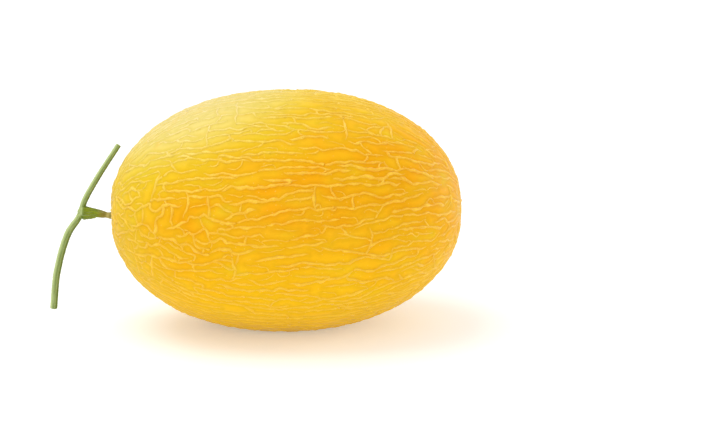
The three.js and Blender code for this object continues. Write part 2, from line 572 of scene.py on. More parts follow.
# Each of these is a value along the grain, and what is added where the skin splits crosswise.
LONG_WANDER = (11, 22)  # degrees
LONG_COURSE = (3, 8)  # degrees
LONG_LOOKERS = (0.25, 0.6)  # the chance that an end looks for another crack
LONG_WIDTHS = (1.9, 2.7)  # mm


def free_place(clearance):
    """A place drawn evenly over the skin, or None if it isn't free. Where the skin splits
    crosswise, cracks may lie closer together."""
    run = draw.uniform(END_CLEAR, MERIDIAN - END_CLEAR)
    angle = draw.uniform(-math.pi, math.pi)
    if draw.random() * RADIUS > out_at(run):
        return None
    clear = clearance * (1 - CLOSER * crossness(run, angle))
    return None if nearest(place_at(run, angle), clear) else (run, angle)


def grow_both_ways(start, course, length, wander, seeks_ahead, seeks_behind):
    ahead, met_ahead = spread(*start, course, length / 2, wander, seeks_ahead)
    behind, met_behind = spread(*start, course + math.pi, length / 2, wander, seeks_behind)
    return behind[::-1] + [start] + ahead, (met_behind, met_ahead)


def crosswise(value, cross):
    """A value that changes with how much the skin splits crosswise."""
    return value[0] + value[1] * cross


for _ in range(LONG_TRIES):
    start = free_place(LONG_CLEARANCE)
    if not start:
        continue
    cross = crossness(*start)
    wander = math.radians(crosswise(LONG_WANDER, cross))
    length = min(LONGEST, draw.lognormvariate(math.log(LONG_MEDIAN), LONG_SPREAD))
    length *= 1 - CROSS_SHORTER * cross
    course = draw.gauss(0, math.radians(crosswise(LONG_COURSE, cross)))
    if draw.random() < CROSS_START * cross:
        course += math.pi / 2
        length = min(length, CROSS_LONGEST)
    lookers = crosswise(LONG_LOOKERS, cross)
    seeks = [1 if draw.random() > lookers else LOOKS_OUT for _ in range(2)]
    places, joined = grow_both_ways(start, course, length, wander, *seeks)
    if (len(places) - 1) * STEP > SHORTEST:
        add_crack(places, draw.uniform(*LONG_WIDTHS) * MM, joined)

long_count = len(cracks)


def metres(some):
    return round(sum((len(c["places"]) - 1) * STEP for c in some), 1)


print(long_count, "long cracks,", metres(cracks), "m")

# %% [markdown]
# Short cracks leave the long ones sideways and look for the next one. They tie the ridges into a
# net: closely on the flanks near the stalk, and loosely elsewhere.

# %% Short cracks that branch from them
BRANCH_EVERY = 15 * MM  # along a crack, where the skin splits crosswise the most
BRANCH_EAGER = (0.14, 1.1)  # how fast that distance is used up, along the grain and crosswise
BRANCH_REACH = 9 * MM
BRANCH_CLEARANCE = 2.8 * MM
BRANCH_OPENING = (30, 55)  # degrees from its parent, again along the grain and crosswise
BRANCH_SCATTER = 12  # degrees
BRANCH_WANDER = math.radians(18)
BRANCH_LOOKS = 0.2  # of its length: from here on, it looks for another crack
BRANCH_BACKWARD = 0.5  # the chance that it leaves towards the other end of its parent
BRANCH_WIDTHS = (1.6, 2.3)  # mm

for crack_index in range(first_free, long_count):
    places = cracks[crack_index]["places"]
    wait = draw.expovariate(1) * BRANCH_EVERY
    for at in range(2, len(places) - 2):
        run, angle = places[at]
        cross = crossness(run, angle)
        wait -= STEP * crosswise(BRANCH_EAGER, cross)
        if wait > 0 or nearest(place_at(run, angle), BRANCH_CLEARANCE, crack_index):
            continue
        wait = draw.expovariate(1) * BRANCH_EVERY
        (run0, angle0), (run1, angle1) = places[at - 1], places[at + 1]
        along = math.atan2(wrapped(angle1 - angle0) * out_at(run), run1 - run0)
        opening = math.radians(draw.gauss(crosswise(BRANCH_OPENING, cross), BRANCH_SCATTER))
        course = along - grain(run, angle) + draw.choice((-1, 1)) * opening
        if draw.random() < BRANCH_BACKWARD:
            course += math.pi
        way = (course, BRANCH_REACH, BRANCH_WANDER, BRANCH_LOOKS, crack_index)
        grown, met = spread(run, angle, *way)
        if len(grown) >= FEWEST_STEPS:
            add_crack([(run, angle)] + grown, draw.uniform(*BRANCH_WIDTHS) * MM, (True, met))

branch_count = len(cracks)
print(branch_count - long_count, "branches,", metres(cracks[long_count:]), "m")

# %% [markdown]
# Fine hairlines open last, in the skin that is still free. They are short and thin, and one end of
# each may join a ridge nearby.

# %% Hairlines in the skin that is left
HAIR_TRIES = 4000
HAIR_CLEARANCE = 3.3 * MM
HAIR_MEDIAN = 9 * MM
HAIR_SPREAD = 0.4
HAIR_COURSE = (7, 30)  # degrees, along the grain and crosswise
HAIR_WANDER = math.radians(16)
HAIR_WIDTHS = (1.0, 1.5)  # mm

for _ in range(HAIR_TRIES):
    start = free_place(HAIR_CLEARANCE)
    if not start:
        continue
    length = draw.lognormvariate(math.log(HAIR_MEDIAN), HAIR_SPREAD)
    course = draw.gauss(0, math.radians(crosswise(HAIR_COURSE, crossness(*start))))
    places, joined = grow_both_ways(start, course, length, HAIR_WANDER, LOOKS_OUT, 1)
    if len(places) > FEWEST_STEPS:
        add_crack(places, draw.uniform(*HAIR_WIDTHS) * MM, joined)

print(len(cracks) - branch_count, "hairlines,", metres(cracks[branch_count:]), "m")

# %% [markdown]
# Each crack becomes a low mound of cork: a strip with seven points across, highest in the
# middle, with its feet sunk a little into the skin so that no gap shows. It thins out where it
# ends free, and keeps its height where it joins another. A curve with a bevel would make such
# strips too, but it can't change its two edges one by one, and cork is ragged at its edges.

# %% How full and how pale a mound is
FADE_OVER = 6 * MM
FADE_MOST = 0.4  # of a short ridge's length
FADE_CURVE = 0.6  # below 1, a free tip is blunt
JOINED_SHARE = 0.85
JOINT_LENGTH = 3 * MM
RIDGE_APART = 3.7  # how far apart in the noise two ridges are
# The window lights the fruit's top the most, and most of all towards its stalk end, so the colour
# there carries painted light. The mask of that lit top grows with the height above the axis, in
# radii, and towards the stalk, in half lengths, but only from the last of these numbers on.
LIT_TOP_UP, LIT_TOP_BACK, LIT_TOP_TO = 0.85, 0.5, 0.15
PALE_FROM, PALE_TO = 0.72, 1.1


def rounded(values):
    """Rounds off the corners of a row of numbers, and keeps its ends."""
    inner = (values[:-2] + 2 * values[1:-1] + values[2:]) / 4
    return np.concatenate((values[:1], inner, values[-1:]))


def rough(count, index, lane, size):
    """A row of uneven numbers for the steps of a ridge: each ridge and each lane has its own."""
    spots = [(index * RIDGE_APART, i * STEP / size, lane) for i in range(count)]
    return np.array([noise.noise(spot) for spot in spots])


def end_fade(count, joined):
    """How full the ridge is at each step: thin towards a free end, nearly full at a joined one."""
    steps = np.arange(count)
    fade = np.ones(count)
    for from_end, is_joined in ((steps, joined[0]), (steps[::-1], joined[1])):
        gone = from_end * STEP
        if is_joined:
            fade *= np.minimum(1, JOINED_SHARE + (1 - JOINED_SHARE) * gone / JOINT_LENGTH)
        else:
            fade *= np.minimum(1, gone / min(FADE_OVER, FADE_MOST * count * STEP)) ** FADE_CURVE
    return fade


def smooth_step(values, low, high):
    """From 0 at low to 1 at high, with soft ends."""
    share = np.clip((values - low) / (high - low), 0, 1)
    return share**2 * (3 - 2 * share)


def paleness(runs, angles):
    """From 0 to 1: how far into the lit top a place lies, where the skin's colour is painted pale.
    """
    along, out = outline_at(runs)
    back = np.minimum(along / HALF_LENGTH, LIT_TOP_TO)
    toward_lit_top = LIT_TOP_UP * out * np.cos(angles) / RADIUS - LIT_TOP_BACK * back
    return smooth_step(toward_lit_top, PALE_FROM, PALE_TO)


# %% [markdown]
# A thousand loose mounds would be slow to handle, so they are gathered in three pieces: the main
# ridges of each half of the fruit, and the fine ones. Two numbers are kept at every point: how
# near the crest it is, and how ripe the cork is. The finish uses them, so that the cork fades into
# the skin at its feet.

# %% Mounds of cork
ACROSS = (-1.0, -0.72, -0.4, 0.0, 0.4, 0.72, 1.0)
RISE = (0.0, 0.26, 0.7, 1.0, 0.7, 0.26, 0.0)
FOOT_DEPTH = 0.14 * MM
HEIGHT_SHARE = 0.33  # of a ridge's width
PALE_SHARE = 0.7  # of that height, on the lit top, where the skin's colour is painted pale
TIP_SHARE = 0.35  # of its width, at a free tip
UNEVEN = (0.6, 5 * MM)  # how much the width of a ridge changes along it, and over what length
CRUMBLY = (0.5, 1.9 * MM)  # the same for its two edges, each on its own, and for its crest
LANES = (4.3, 7.6, 9.1)  # which noise each of those three follows
CREST_FILL = 1.3  # a ridge is cork-coloured nearly to its tip
RIPENESS = (0.75, 0.5)  # of the cork: at a ridge's mean width, and how it goes with the width


class Mounds:
    """Gathers the points and faces of many mounds, to make one piece of them."""

    def __init__(self):
        self.points, self.faces, self.undersides = [], [], []
        self.runs, self.angles, self.crest, self.cork = [], [], [], []

    def add(self, crack, index):
        places = [wriggled(*place) for place in crack["places"]]
        runs = rounded(np.array([p[0] for p in places]))
        angles = rounded(np.unwrap(np.array([p[1] for p in places])))
        count = len(runs)
        out = outline_at(runs)[1]
        d_run, d_side = np.gradient(runs), np.gradient(angles) * out
        length = np.maximum(np.hypot(d_run, d_side), 1e-9)
        uneven = rough(count, index, 0.0, UNEVEN[1])
        much, size = CRUMBLY
        left, crest, right = (1 + much * rough(count, index, lane, size) for lane in LANES)
        fade = end_fade(count, crack["joined"])
        width = crack["width"] * (1 + UNEVEN[0] * uneven) * (TIP_SHARE + (1 - TIP_SHARE) * fade)
        height = HEIGHT_SHARE * width * crest * fade
        height *= 1 - (1 - PALE_SHARE) * paleness(runs, angles)
        first = len(self.points)
        for across, rise in zip(ACROSS, RISE):
            side = across * width / 2 * (left if across < 0 else right)
            new_runs = runs - side * d_side / length
            new_angles = angles + side * d_run / length / out
            lift = (height + FOOT_DEPTH) * rise - FOOT_DEPTH
            new_turns = np.interp(new_runs, table_runs, table_turns)
            self.points.extend(skin(new_turns, new_angles, lift).tolist())
            self.runs.extend(new_runs)
            self.angles.extend(new_angles)
            self.crest.extend(np.full(count, rise) * np.minimum(1, fade * CREST_FILL))
            self.cork.extend(RIPENESS[0] + RIPENESS[1] * uneven)
        self.add_faces(first, count)

    def add_faces(self, first, count):
        rows = len(ACROSS)
        for i in range(first, first + count - 1):
            for row in range(rows - 1):
                low, high = i + row * count, i + (row + 1) * count
                self.faces.append((low, low + 1, high + 1, high))
            far = i + (rows - 1) * count
            self.undersides.append(len(self.faces))
            self.faces.append((i, far, far + 1, i + 1))
        for i, step in ((first, 1), (first + count - 1, -1)):
            self.faces.append(tuple(range(i, i + rows * count, count))[::step])

    def piece(self, name):
        made = new_piece(name, self.points, self.faces)
        made.data.shade_smooth()
        for face in self.undersides:
            made.data.polygons[face].use_smooth = False
        keep_numbers(made, "crest", self.crest)
        keep_numbers(made, "cork", self.cork)
        wrap_map(made.data, np.array(self.runs), np.array(self.angles))
        print(name + ":", triangles(made), "triangles")
        return made


stalk_half, blossom_half, fine_ridges = Mounds(), Mounds(), Mounds()
for index, crack in enumerate(cracks):
    middle_run, _ = crack["places"][len(crack["places"]) // 2]
    main_ridges = stalk_half if middle_run < MERIDIAN / 2 else blossom_half
    (main_ridges if index < long_count else fine_ridges).add(crack, index)
cork_pieces = (
    stalk_half.piece("cork_net_stalk_half"),
    blossom_half.piece("cork_net_blossom_half"),
    fine_ridges.piece("cork_joins"),
)

# %% [markdown]
# ## The skin
#
# Between its cracks the skin swells into low cushions, which is what makes the light ripple
# over a netted melon. So the skin is made after the net: one closed mesh, with rings of points
# from the stalk end to the blossom end and a single point at each pole, and every point is
# lifted by how far it lies from the nearest crack. Both ends get the fine creases that run in
# towards the stalk and the blossom scar.

# %% Swelling of the skin
SWELL = 0.32 * MM
SWELL_FROM, SWELL_TO = 0.8 * MM, 3.4 * MM  # the distances from a crack over which the skin swells
CRACK_SHADE_FROM, CRACK_SHADE_TO = 1.2 * MM, 4.2 * MM  # the same for the painted shade beside a crack
CREASES = (  # run of the pole, rise of the middle, count, radius, breadth, height
    (0, STALK_SEAT_RISE, 13, 5.8 * MM, 2.2 * MM, 0.26 * MM),
    (MERIDIAN, 0, 11, 4.0 * MM, 1.5 * MM, 0.24 * MM),
)
CREASE_SWAY = 1.5  # how unevenly they are set round the pole
SCAR_BUTTON = (0.7 * MM, 1.9 * MM)  # the dry end of the flower: height and radius


def tree_of(points):
    """A search tree that finds the nearest of many points."""
    tree = kdtree.KDTree(len(points))
    for index, point in enumerate(points):
        tree.insert(point, index)
    tree.balance()
    return tree


def distance_to_crack(runs, angles):
    crack_tree = tree_of([place_at(*wriggled(*p)) for crack in cracks for p in crack["places"]])
    along, out = outline_at(runs)
    points = np.stack([along, out * np.sin(angles), out * np.cos(angles)], 1)
    return np.array([crack_tree.find(point)[2] for point in points.tolist()])


def creases(runs, angles):
    """How far the creases and the scar's button lift the skin."""
    lift = np.zeros(len(runs))
    for pole, rise, count, radius, breadth, height in CREASES:
        reach = np.abs(runs - pole)
        y, z = reach * np.sin(angles), reach * np.cos(angles) - rise
        turn = np.arctan2(y, z)
        ring = bell(np.hypot(y, z) - radius, height, breadth)
        lift += ring * np.cos(count * turn + CREASE_SWAY * np.sin(2 * turn))
    return lift + bell(MERIDIAN - runs, *SCAR_BUTTON)


# %% [markdown]
# A round mesh from the menu has its rings evenly apart. Here they lie closer together at both
# ends, where the creases are fine, so the points are worked out ring by ring.

# %% Skin mesh
SKIN_SIDES = 384
SKIN_RINGS = 256
RING_CROWDING = 0.07  # draws the rings together towards both ends, where the creases are

ring_shares = np.arange(1, SKIN_RINGS) / SKIN_RINGS
ring_runs = MERIDIAN * (ring_shares - RING_CROWDING * np.sin(2 * math.pi * ring_shares))
side_angles = 2 * math.pi * np.arange(SKIN_SIDES) / SKIN_SIDES + math.pi
skin_runs = np.concatenate(([0], np.repeat(ring_runs, SKIN_SIDES), [MERIDIAN]))
skin_angles = np.concatenate(([0], np.tile(side_angles, SKIN_RINGS - 1), [0]))
from_crack = distance_to_crack(skin_runs, skin_angles)
swelling = SWELL * smooth_step(from_crack, SWELL_FROM, SWELL_TO)
skin_lift = swelling + creases(skin_runs, skin_angles)
skin_points = skin(np.interp(skin_runs, table_runs, table_turns), skin_angles, skin_lift)

skin_faces = []
last_vertex = len(skin_points) - 1
for side in range(SKIN_SIDES):
    beside = (side + 1) % SKIN_SIDES
    here, there = (list(range(1 + s, last_vertex, SKIN_SIDES)) for s in (side, beside))
    skin_faces.append((0, here[0], there[0]))
    skin_faces.extend(zip(here, here[1:], there[1:], there))
    skin_faces.append((here[-1], last_vertex, there[-1]))

fruit_skin = new_piece("fruit_skin", skin_points.tolist(), skin_faces)
fruit_skin.data.shade_smooth()
# Kept for the painted shade beside each crack.
keep_numbers(fruit_skin, "nearness", 1 - smooth_step(from_crack, CRACK_SHADE_FROM, CRACK_SHADE_TO))
wrap_map(fruit_skin.data, skin_runs, skin_angles)
print("skin:", triangles(fruit_skin), "triangles")

# %% [markdown]
# The skin has to fit the solid that it stands for. A search tree over the solid's faces says how
# far some of the skin's points are off.

# %% How well the skin fits the solid
CHECK_EVERY = 97

solid_fruit = BVHTree.FromObject(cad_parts["fruit"], bpy.context.evaluated_depsgraph_get())
gaps = [solid_fruit.find_nearest(Vector(p))[3] for p in skin_points[::CHECK_EVERY]]
check = bmesh.new()
check.from_mesh(fruit_skin.data)
print("at most", round(max(gaps) / MM, 2), "mm off the solid")
print("skin volume:", round(check.calc_volume(signed=True) * 1e6, 1), "ml")
check.free()

# %% [markdown]
# ## The stem
#
# The fruit was picked with its stalk and a piece of the vine, so that it keeps longer. The vine
# is angular, with a rib at each corner, and swells at the joint where the stalk grows out of
# it. Stalk and vine are one growth with no seam between them, so they are made as separate
# tubes first, melted together by a voxel remesh, and smoothed. Only then are the ribs raised,
# because the remesh would soften them.

# %% Lines of the stem
VINE_DIAMETERS = ((0, 3.5), (0.42, 4.2), (0.56, 4.8), (1, 4.8))  # share of the length, mm
STALK_DIAMETERS = (
    (0, 3.6), (0.1, 9), (0.16, 9), (0.28, 7.6), (0.42, 6.2), (0.56, 5.6),
    (0.66, 5.3), (0.74, 4.7), (0.83, 3.8), (0.9, 4.2), (0.96, 4.8), (1, 4.8),
)  # fmt: skip
KNUCKLE_DIAMETER = 6.4
KNUCKLE_MIDDLE = (20.2, 0, 1)
# How far each point lies beyond the stalk end of the fruit, to its side, and above its axis.
VINE_LINE = (
    (-6.4, 5, 47.7), (9.5, 2.5, 24), (18.2, 0.8, 9), (22.1, -0.2, -2),
    (30.3, -1.5, -14), (38.7, -3, -41), (42.1, -3.5, -68.1),
)  # fmt: skip
STALK_LINE = (
    (22.6, 0, 1), (12.6, 0.4, 0.2), (6.5, 0.3, -0.9), (2, 0.1, -1.8), (-0.7, 0, -2),
)  # fmt: skip
LINE_STEPS = 400


def beyond_stalk_end(place):
    reach, side, rise = place
    return np.array((-FRUIT_LENGTH / 2 - reach * MM, side * MM, AXIS_HEIGHT + rise * MM))


def slope_at(here, before, after, gap_before, gap_after):
    """The slope of a Catmull-Rom curve where it passes one of its places."""
    coming, going = (here - before) / gap_before, (after - here) / gap_after
    return coming - (after - before) / (gap_before + gap_after) + going


def smooth_line(places):
    """Even steps along a centripetal Catmull-Rom curve through the places."""
    given = [beyond_stalk_end(place) for place in places]
    given = [2 * given[0] - given[1], *given, 2 * given[-1] - given[-2]]
    gaps = [np.linalg.norm(b - a) ** 0.5 for a, b in zip(given, given[1:])]
    t = np.linspace(0, 1, LINE_STEPS, endpoint=False)[:, None]
    pieces = []
    for i in range(1, len(given) - 2):
        start, end, gap = given[i], given[i + 1], gaps[i]
        leave = slope_at(start, given[i - 1], end, gaps[i - 1], gap)
        arrive = slope_at(end, start, given[i + 2], gap, gaps[i + 1])
        from_start = (2 * t**3 - 3 * t**2 + 1) * start + (t**3 - 2 * t**2 + t) * leave * gap
        to_end = (3 * t**2 - 2 * t**3) * end + (t**3 - t**2) * arrive * gap
        pieces.append(from_start + to_end)
    dense = np.concatenate(pieces + [given[-2][None]])
    run = np.concatenate(([0], np.cumsum(np.linalg.norm(np.diff(dense, axis=0), axis=1))))
    even = np.linspace(0, run[-1], LINE_STEPS + 1)
    return np.stack([np.interp(even, run, dense[:, i]) for i in range(3)], 1), float(run[-1])


def sides_along(line):
    """Two directions square to the line at each of its steps, which don't twist along it."""
    ahead = np.gradient(line, axis=0)
    ahead /= np.linalg.norm(ahead, axis=1)[:, None]
    side = np.cross(ahead[0], (0, 1, 0))
    sides = []
    for way in ahead:
        side = side - way * side.dot(way)
        side /= np.linalg.norm(side)
        sides.append(side)
    sides = np.array(sides)
    return sides, np.cross(ahead, sides)


def radii_along(diameters):
    shares, widths = zip(*diameters)
    return np.interp(np.linspace(0, 1, LINE_STEPS + 1), shares, widths) / 2 * MM


vine_line, vine_length = smooth_line(VINE_LINE)
stalk_line, stalk_length = smooth_line(STALK_LINE)
vine = (vine_line, *sides_along(vine_line), radii_along(VINE_DIAMETERS))
stalk = (stalk_line, *sides_along(stalk_line), radii_along(STALK_DIAMETERS))
print("vine", round(vine_length / MM, 1), "mm, stalk", round(stalk_length / MM, 1), "mm")

# %% [markdown]
# Where the stalk leaves the vine, the joint swells into a knuckle, with the scars of a leaf and of
# a tendril beside it. Small balls stand for these swellings. Boolean joins would leave a crease
# round each, and the remesh melts them all into one skin.

# %% Vine, stalk and knuckle melted into one
TUBE_SIDES = 40
TUBE_EVERY = 2  # one ring of the tube for this many steps of the line
STEM_VOXEL = 0.24 * MM
STEM_SMOOTHING = 5
# Swellings round the joint: the scars of a leaf and a tendril, and the corner above the stalk.
# Each is a place given as above, and a radius in mm.
SWELLINGS = (
    ((18.6, 0.2, -2.6), 2.2), ((16.5, 0.3, -2.4), 2.1), ((14.4, 0.4, -2.1), 2.3),
    ((12.2, 0.4, -1.6), 2.3), ((19.2, 0.3, 4.0), 1.7), ((20.6, -2.2, -0.6), 1.9),
    ((20.4, 2.3, 1.4), 1.7),
)  # fmt: skip


def add_tube(mesh, line, sides, ups, radii):
    rings = []
    for i in range(0, len(line), TUBE_EVERY):
        ring = []
        for k in range(TUBE_SIDES):
            turn = 2 * math.pi * k / TUBE_SIDES
            out = sides[i] * math.cos(turn) + ups[i] * math.sin(turn)
            ring.append(mesh.verts.new(line[i] + out * radii[i]))
        rings.append(ring)
    for near, far in zip(rings, rings[1:]):
        for k in range(TUBE_SIDES):
            after = (k + 1) % TUBE_SIDES
            mesh.faces.new((near[k], near[after], far[after], far[k]))
    mesh.faces.new(rings[0][::-1])
    mesh.faces.new(rings[-1])


def add_ball(mesh, place, radius):
    made = bmesh.ops.create_icosphere(mesh, subdivisions=4, radius=radius)
    bmesh.ops.translate(mesh, verts=made["verts"], vec=Vector(beyond_stalk_end(place)))


melting = bmesh.new()
add_tube(melting, *vine)
add_tube(melting, *stalk)
add_ball(melting, KNUCKLE_MIDDLE, KNUCKLE_DIAMETER / 2 * MM)
for place, swelling in SWELLINGS:
    add_ball(melting, place, swelling * MM)
stem_mesh = bpy.data.meshes.new("stem_skin")
melting.to_mesh(stem_mesh)
melting.free()
stem_skin = link_piece("stem_skin", stem_mesh)
remesh = stem_skin.modifiers.new("melt", "REMESH")
remesh.mode = "VOXEL"
remesh.voxel_size = STEM_VOXEL
smoothing = stem_skin.modifiers.new("smooth", "SMOOTH")
smoothing.factor = 0.5
smoothing.iterations = STEM_SMOOTHING
melted = bpy.data.meshes.new_from_object(
    stem_skin.evaluated_get(bpy.context.evaluated_depsgraph_get())
)
stem_skin.modifiers.clear()
stem_skin.data = melted
print("stem:", triangles(stem_skin), "triangles")

# %% [markdown]
# Now each point of the stem asks where it is: how far along the vine or the stalk, and at what
# angle round it. From that come the five ribs, the fine strings between them, the warts, and
# the numbers that the colours follow.

# %% Where each point of the stem is
JOINT_START = 1.02  # a point this many vine radii out starts to belong to the stalk
JOINT_BLEND = 0.25  # and is all stalk this many radii further out
WART_SIZE = 1.1 * MM
CUT_DEPTH = 0.35 * MM  # a cut end is this thick
CUT_BREADTH = 0.93  # of the radius

point_count = len(melted.vertices)
spots = np.empty(point_count * 3)
melted.vertices.foreach_get("co", spots)
spots = spots.reshape(-1, 3)
outward = np.array([normal.vector for normal in melted.vertex_normals])


def follow(line, sides, ups, radii):
    """For every point of the stem: the step of the line nearest to it, how far out it is in
    radii, and its angle round the line."""
    tree = tree_of(line.tolist())
    steps = np.array([tree.find(spot)[1] for spot in spots.tolist()])
    apart = spots - line[steps]
    across, up = (apart * sides[steps]).sum(1), (apart * ups[steps]).sum(1)
    return steps, np.hypot(across, up) / radii[steps], np.arctan2(up, across)


vine_steps, vine_out, vine_turn = follow(*vine)
stalk_steps, _, stalk_turn = follow(*stalk)
stalk_share = np.clip((vine_out - JOINT_START) / JOINT_BLEND, 0, 1)
on_stalk = stalk_share > 0.5
turn = np.where(on_stalk, stalk_turn, vine_turn)
radius = np.where(on_stalk, stalk[-1][stalk_steps], vine[-1][vine_steps])
from_joint = np.linalg.norm(spots - beyond_stalk_end(KNUCKLE_MIDDLE), axis=1)
wart = np.array([noise.noise(Vector(spot) / WART_SIZE) for spot in spots.tolist()])
vine_share = vine_steps / LINE_STEPS
end_gap = np.minimum(vine_share, 1 - vine_share) * vine_length
cut = np.clip(1 - end_gap / CUT_DEPTH, 0, 1) * (vine_out < CUT_BREADTH) * (stalk_share < 0.5)
print("points of the stem:", point_count, "of which on the stalk:", int(on_stalk.sum()))

# %% [markdown]
# The ribs stand at the corners of the vine and die away on the knuckle. They could come from a
# displacement texture, but then the finish couldn't follow them. Here one sum gives the lift of
# every point, and the cut ends are hollowed a little, as they shrink when they dry.

# %% Ribs, strings and warts
RIB_COUNT = 5
RIB_HEIGHT = 0.1  # of the radius
RIB_SHARPNESS = 0.8
RIB_VALLEY = 0.6  # how far below its crest the level of no ribs is
STRING_COUNT = 17
STRING_HEIGHT = 0.016
STRING_SWAY = 3
KNUCKLE_QUIET = (5.5 * MM, 0.5)  # the ribs die away over this, and are gone within this share
WART_HEIGHT = 0.14 * MM
CUT_HOLLOW = 0.25 * MM

quiet = np.clip(from_joint / KNUCKLE_QUIET[0] - KNUCKLE_QUIET[1], 0, 1)
rib = np.abs(np.cos(RIB_COUNT / 2 * turn)) ** RIB_SHARPNESS - RIB_VALLEY
string = np.cos(STRING_COUNT * turn + STRING_SWAY * np.sin(turn))
lift = radius * (RIB_HEIGHT * rib * quiet + STRING_HEIGHT * string)
lift += WART_HEIGHT * np.maximum(wart, 0)
lift = lift * (cut == 0) - CUT_HOLLOW * cut * np.clip(1 - vine_out, 0, 1)
melted.vertices.foreach_set("co", (spots + outward * lift[:, None]).ravel())
melted.update()
stem_skin.data.shade_smooth()
print("ribs and warts: at most", round(lift.max() / MM, 2), "mm high")

# %% [markdown]
# The green of the stalk spreads over the knuckle in blotches, one side is painted paler as painted
# light and the other darker as painted shade, and streaks run along the stem. Vertex paint could
# say where. But each follows from the numbers above, so they are worked out and kept at every
# point, for the finish to read.

# %% Numbers that the stem's colours follow
STALK_COLOUR_FROM = 20.8  # mm beyond the fruit, where the colour of the vine starts to give way
STALK_COLOUR_FADE = 3.5
# Over how many vine radii the stalk's colour sets in, how blotchily, and how much sooner on top.
STALK_COLOUR_BLEND, STALK_COLOUR_BLOTCH, STALK_COLOUR_TOP = 1.0, 0.9, 0.35
KNUCKLE_GREEN = (0.5, 4 * MM)  # the same green on the knuckle: how much, and how far
KNUCKLE_BLOTCH = (1.2, 1.6)  # how blotchy it is, and the most of it
PAINTED_LIT_SIDE = (-0.9, -0.3, 0.3)  # the side of the stem painted paler, as painted light
STREAK_LENGTH = 9 * MM
STREAKS_ROUND = 1.6  # how large the circle is, in the noise, that a turn round the stem makes

past_fruit = (-HALF_LENGTH - spots[:, 0]) / MM
past_vine = np.clip((STALK_COLOUR_FROM - past_fruit) / STALK_COLOUR_FADE, 0, 1)
set_in = vine_out - 1 + STALK_COLOUR_BLOTCH * wart + STALK_COLOUR_TOP * outward[:, 2]
set_in = np.clip(set_in / STALK_COLOUR_BLEND, 0, 1) * (stalk_share > 0) * past_vine
blotchy = np.clip(1 + KNUCKLE_BLOTCH[0] * wart, 0, KNUCKLE_BLOTCH[1])
on_knuckle = bell(from_joint, *KNUCKLE_GREEN) * blotchy
keep_numbers(stem_skin, "rib", np.clip(rib + RIB_VALLEY, 0, 1) * quiet + 0.5 * (1 - quiet))
keep_numbers(stem_skin, "stalk", np.maximum(set_in, on_knuckle))
keep_numbers(stem_skin, "toward_fruit", stalk_steps / LINE_STEPS * (stalk_share > 0))
keep_numbers(stem_skin, "cut", cut)
keep_numbers(stem_skin, "sunny", outward @ np.array(PAINTED_LIT_SIDE))
along = np.where(on_stalk, stalk_steps * stalk_length, vine_steps * vine_length) / LINE_STEPS
round_about = (STREAKS_ROUND * np.cos(turn), STREAKS_ROUND * np.sin(turn))
stem_places = np.stack([along / STREAK_LENGTH, *round_about], 1)
kept = melted.attributes.new("stem_places", "FLOAT_VECTOR", "POINT")
kept.data.foreach_set("vector", stem_places.astype(np.float32).ravel())
print("numbers kept:", [kept.name for kept in melted.attributes if kept.domain == "POINT"])

# %% [markdown]
# A melon's vine is rough to the touch, with short, stiff bristles. A hair system could grow them,
# but it would stay outside the mesh. So each one is a small spike with three sides, on a face
# that is drawn by its area, and it leans a little at random. The seat of the stalk is bare.

# %% Bristles
BRISTLE_COUNT = 2200
BRISTLE_LENGTH = (0.45 * MM, 1.1 * MM)
BRISTLE_RADIUS = 0.055 * MM
BRISTLE_LEAN = 0.35
BARE_SEAT = 3.2 * MM  # no bristles this near the seat of the stalk
BRISTLE_SEED = 4

bristle_draw = random.Random(BRISTLE_SEED)
bristle_mesh = bmesh.new()
stem_faces = list(melted.polygons)
areas = [face.area for face in stem_faces]
for face in bristle_draw.choices(stem_faces, areas, k=BRISTLE_COUNT):
    root = Vector(face.center)
    if (root - Vector(stalk_line[-1])).length < BARE_SEAT:
        continue
    lean = Vector([bristle_draw.gauss(0, BRISTLE_LEAN) for _ in range(3)])
    way = (face.normal + lean).normalized()
    across = way.orthogonal().normalized()
    around = way.cross(across)
    ring = []
    for k in range(3):
        corner = 2 * math.pi * k / 3
        out = across * math.cos(corner) + around * math.sin(corner)
        ring.append(bristle_mesh.verts.new(root - way * BRISTLE_RADIUS + out * BRISTLE_RADIUS))
    tip = bristle_mesh.verts.new(root + way * bristle_draw.uniform(*BRISTLE_LENGTH))
    for k in range(3):
        bristle_mesh.faces.new((ring[k], ring[(k + 1) % 3], tip))
    bristle_mesh.faces.new(ring[::-1])
made = bpy.data.meshes.new("stem_bristles")
bristle_mesh.to_mesh(made)
bristle_mesh.free()
stem_bristles = link_piece("stem_bristles", made)
print("bristles:", triangles(stem_bristles), "triangles")

# %% [markdown]
# ## Finishes of the fruit
#
# The finishes are mixed from noises and from masks that follow the shape, because no two places on
# a fruit look alike. These helpers make a group, mix two colours, lay several over one, and make
# a noise whose blobs have a known size.

# %% Helpers for colours
def new_group(name, inputs, outputs):
    group = bpy.data.node_groups.new(name, "ShaderNodeTree")
    for side, sockets in (("INPUT", inputs), ("OUTPUT", outputs)):
        for label, kind in sockets:
            group.interface.new_socket(label, in_out=side, socket_type=kind)
    return group, node(group, "NodeGroupInput").outputs, node(group, "NodeGroupOutput").inputs


def mix(tree, share, first, second, blend="MIX"):
    colours = {0: share, 6: first, 7: second}
    return node(tree, "ShaderNodeMix", colours, data_type="RGBA", blend_type=blend).outputs[2]


def layered(tree, colour, layers):
    """Lays colours over a first one, each with its own share."""
    for share, tint in layers:
        colour = mix(tree, share, colour, tint)
    return colour


def noise_at(tree, places, scale, detail=2.0, stretch=(1, 1, 1)):
    """A noise with its blobs about 1 / scale metres wide, stretched along the axes."""
    sized = vector_maths(tree, "MULTIPLY", places, [scale / s for s in stretch])
    inputs = {"Vector": sized, "Scale": 1.0, "Detail": detail}
    return node(tree, "ShaderNodeTexNoise", inputs).outputs["Fac"]
